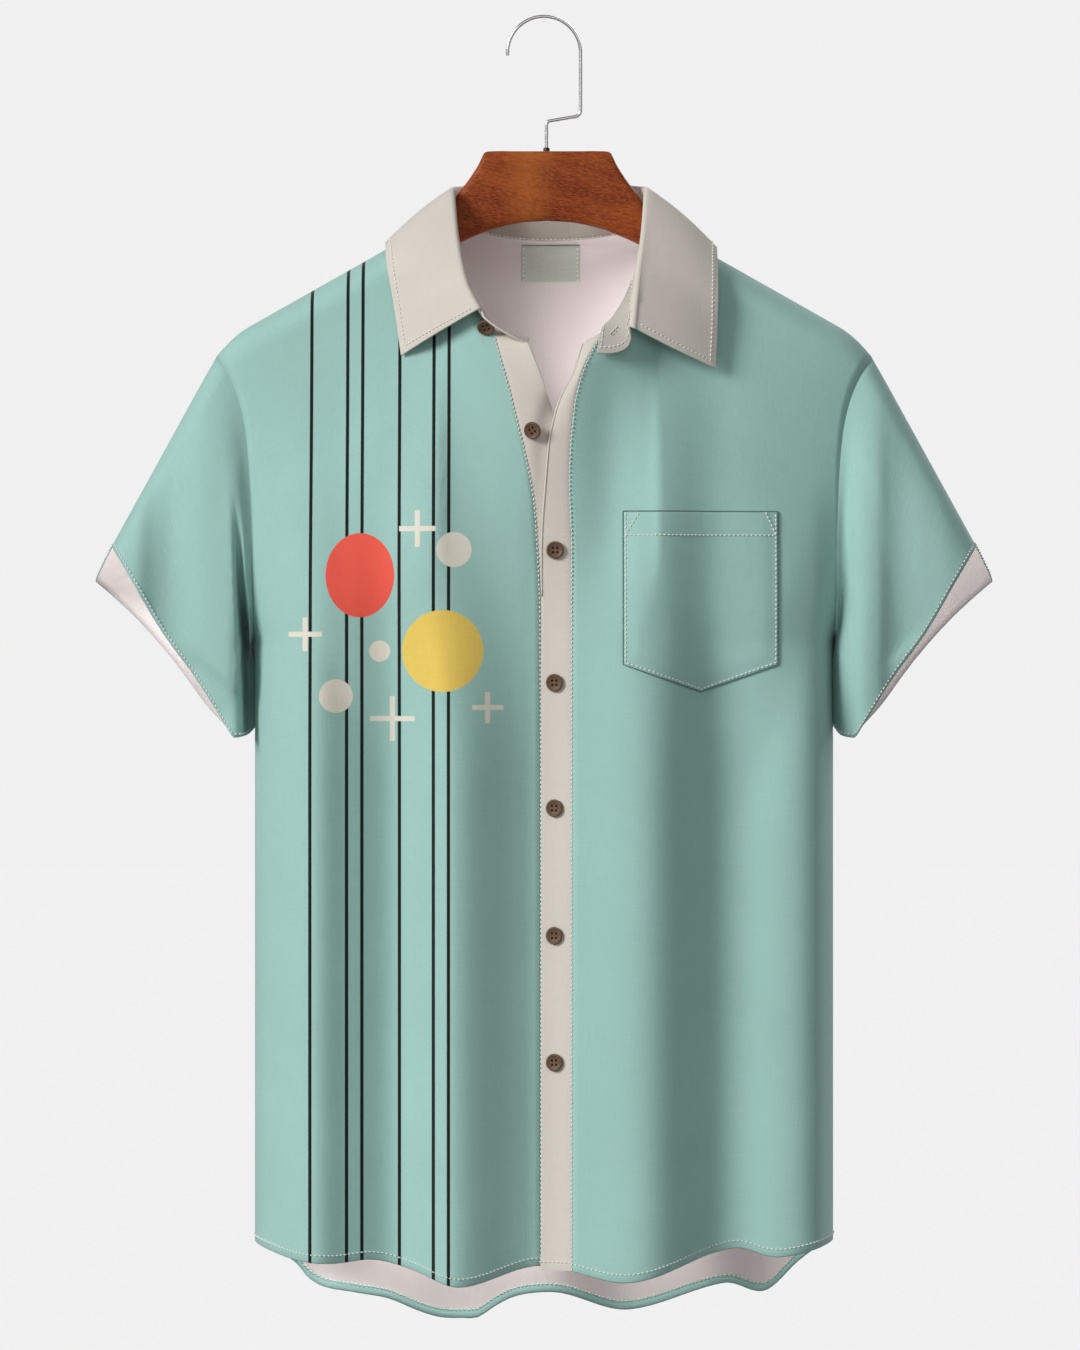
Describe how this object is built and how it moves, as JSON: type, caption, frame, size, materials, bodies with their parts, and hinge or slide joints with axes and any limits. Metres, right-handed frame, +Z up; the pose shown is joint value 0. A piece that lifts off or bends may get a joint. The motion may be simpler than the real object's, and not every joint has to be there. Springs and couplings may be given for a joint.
{
  "type": "bowling shirt on a wooden hanger",
  "caption": "Short-sleeved button-front bowling shirt with pointed collar, chest pocket and curved hem, hanging open at neck, cuffs and hem on a wooden hanger with a wire hook.",
  "frame": {"origin": "inside top of the hanger's hook, where a rail carries it", "axes": "+Z up, the shirt's front faces -Y, the wearer's left is +X"},
  "size_m": [0.6466, 0.1987, 0.9453],
  "materials": {
    "mint_cloth": "matt plain-weave shirting, mint green",
    "cream_cloth": "matt plain-weave shirting, warm cream, doubled and topstitched",
    "label_weave": "woven label, sage grey, bare",
    "button": "brown four-hole shirt button, half gloss",
    "wood": "red-brown stained and varnished hardwood",
    "steel": "bright steel wire"
  },
  "bodies": {
    "root": {"front_right": "mint_cloth", "front_left": "mint_cloth", "back": "mint_cloth", "sleeve_right": "mint_cloth", "sleeve_left": "mint_cloth", "pocket": "mint_cloth", "button_band": "cream_cloth", "buttonhole_band": "cream_cloth", "collar_stand": "cream_cloth", "collar_leaf": "cream_cloth", "neck_label": "label_weave", "button_collar": "button", "button_1": "button", "button_2": "button", "button_3": "button", "button_4": "button", "button_5": "button", "button_6": "button", "hanger": "wood", "hook": "steel", "ferrule": "steel"}
  },
  "joints": []
}
